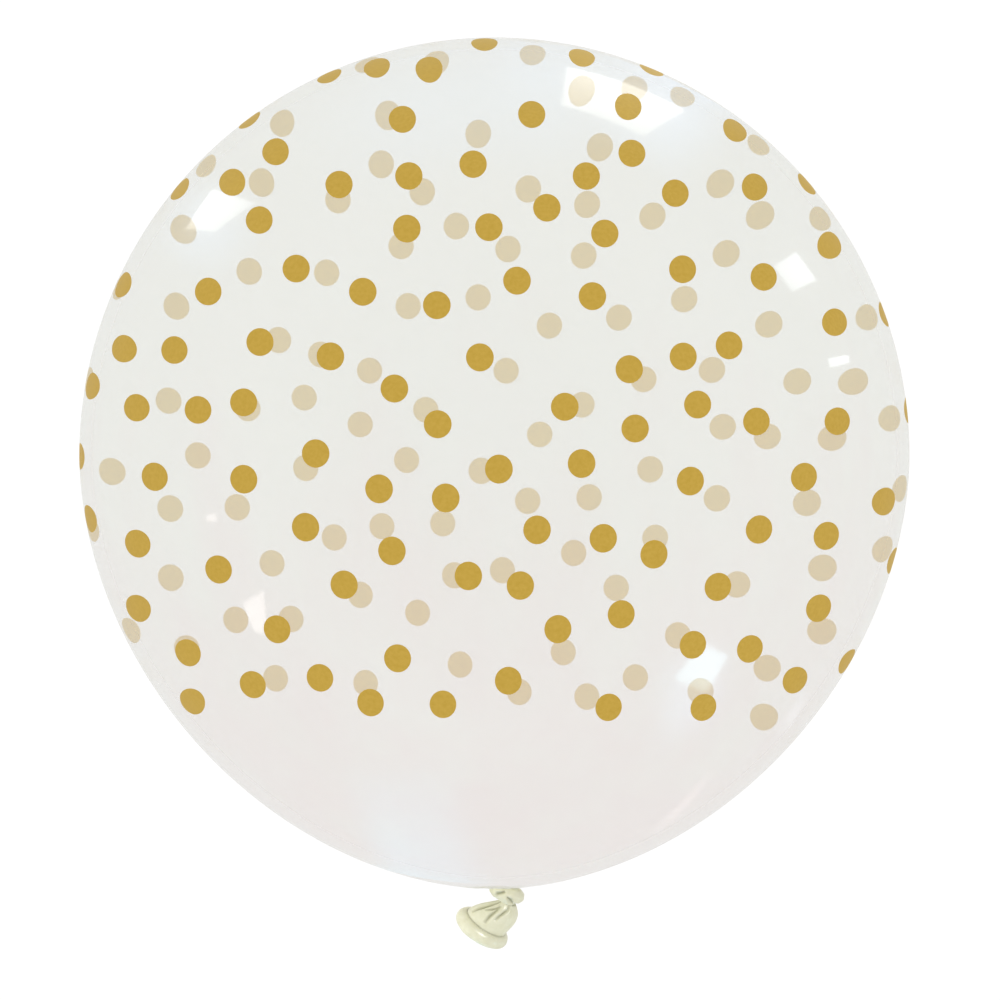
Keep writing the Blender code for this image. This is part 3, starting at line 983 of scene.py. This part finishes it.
def mirrored_lines(pixels):
    """Where the camera's lines through picture pixels meet the skin, and the lines' mirror images."""
    offset = (pixels - 0.5 * PICTURE_PIXELS) * (VIEW_WIDTH / PICTURE_PIXELS)
    drop = np.full(len(pixels), -VIEW_DISTANCE)
    lines = unit(np.column_stack((offset[:, 0], -offset[:, 1], drop)))
    middle = np.array((0.0, 0.0, AXIS_HEIGHT))
    near = np.full(len(pixels), VIEW_DISTANCE - BODY_RADIUS)
    far = np.full(len(pixels), VIEW_DISTANCE + SEARCH_PAST)
    for _ in range(HALVINGS):
        halfway = 0.5 * (near + far)
        points = np.array(camera.location) - middle + lines * halfway[:, None]
        neck_half = points[:, 1] < 0.0
        along = points[:, 1] / np.where(neck_half, NECK_LENGTH, CROWN_LENGTH)
        fullness = np.where(neck_half, NECK_FULLNESS, 2.0)
        spread = np.hypot(points[:, 0], points[:, 2])
        inside = (spread / BODY_RADIUS) ** fullness + np.abs(along) ** fullness < 1.0
        near, far = np.where(inside, near, halfway), np.where(inside, halfway, far)
    sideways = np.sqrt(1.0 - np.minimum(along**2, 1.0)) / spread
    aims = np.column_stack((points[:, 0] * sideways, along, points[:, 2] * sideways))
    normals = skin_normals(aims)
    away = lines - 2.0 * (lines * normals).sum(axis=1)[:, None] * normals
    return points + middle, away


def add_panel(name, corners, distance, glow, tint, soft_edge, kept):
    """A curved glowing panel, seen only in reflections, whose mirror image fills these corners.
    The image's sides bend round the body's middle with the skin."""
    steps = np.linspace(0.0, 1.0, PANEL_GRID + 1)
    down, across = (grid.reshape(-1, 1) for grid in np.meshgrid(steps, steps, indexing="ij"))
    arms = np.array(corners) - BODY_PIXEL
    round_and_out = np.column_stack((np.arctan2(arms[:, 1], arms[:, 0]), np.hypot(*arms.T)))
    first, second, third, fourth = round_and_out
    upper = (1.0 - across) * first + across * second
    lower = (1.0 - across) * fourth + across * third
    turn, reach = ((1.0 - down) * upper + down * lower).T
    pixels = BODY_PIXEL + np.column_stack((reach * np.cos(turn), reach * np.sin(turn)))
    points, away = mirrored_lines(pixels)
    faces = []
    for row in range(PANEL_GRID):
        for column in range(PANEL_GRID):
            i = row * (PANEL_GRID + 1) + column
            faces.append((i, i + 1, i + PANEL_GRID + 2, i + PANEL_GRID + 1))
    mesh = bpy.data.meshes.new(name)
    mesh.from_pydata(points + distance * away, [], faces)
    inward = (down, 1.0 - down, across, 1.0 - across)
    fades = [eased(np.clip(place / soft_edge, 0.0, 1.0)) for place in inward]
    fades[0] = kept + (1.0 - kept) * fades[0]
    stored = mesh.attributes.new("fade", "FLOAT", "POINT")
    stored.data.foreach_set("value", math.prod(fades).ravel())
    panel = bpy.data.objects.new(name, mesh)
    bpy.context.scene.collection.objects.link(panel)
    material, tree, output = new_material(name)
    material.cycles.emission_sampling = "NONE"
    fade = add_node(tree, "ShaderNodeAttribute", attribute_name="fade")
    clear = add_node(tree, "ShaderNodeBsdfTransparent")
    light = add_node(tree, "ShaderNodeEmission", {"Color": linear(tint), "Strength": glow})
    blend = add_node(
        tree, "ShaderNodeMixShader", {0: fade.outputs["Fac"], 1: clear.outputs[0], 2: light.outputs[0]}
    )
    tree.links.new(blend.outputs[0], output.inputs["Surface"])
    mesh.materials.append(material)
    for ray in ("camera", "diffuse", "transmission", "volume_scatter", "shadow"):
        setattr(panel, f"visible_{ray}", False)


for panel_values in PANELS:
    add_panel(*panel_values)

# The lamps on the knot and the tail
# The body hides part of the white room from them, which leaves them darker than the photographed
# ones. Two wide lamps make up for it, and a narrow one gives the bead its glint.

TAIL_LIGHTS = (  # name, strength, where it comes from, spread, the rays that miss it, what it lights
    ("fill", 0.88, (-0.75, 0.35, 0.55), math.radians(60), "visible_glossy", (knot, tail)),
    ("upper_fill", 0.5, (-0.45, 0.85, 0.25), math.radians(60), "visible_glossy", (knot, tail)),
    ("glint", 2.3, (0.40, 0.34, 0.82), math.radians(4), "visible_diffuse", (tail,)),
)

for name, strength, comes_from, spread, missing, parts in TAIL_LIGHTS:
    lamp_data = bpy.data.lights.new(name, "SUN")
    lamp_data.energy = strength
    lamp_data.angle = spread
    lamp_data.use_shadow = False
    lamp = bpy.data.objects.new(name, lamp_data)
    lamp.rotation_euler = Vector(comes_from).to_track_quat("Z", "Y").to_euler()
    setattr(lamp, missing, False)
    lamp.light_linking.receiver_collection = bpy.data.collections.new(name)
    for part in parts:
        lamp.light_linking.receiver_collection.objects.link(part)
    bpy.context.scene.collection.objects.link(lamp)
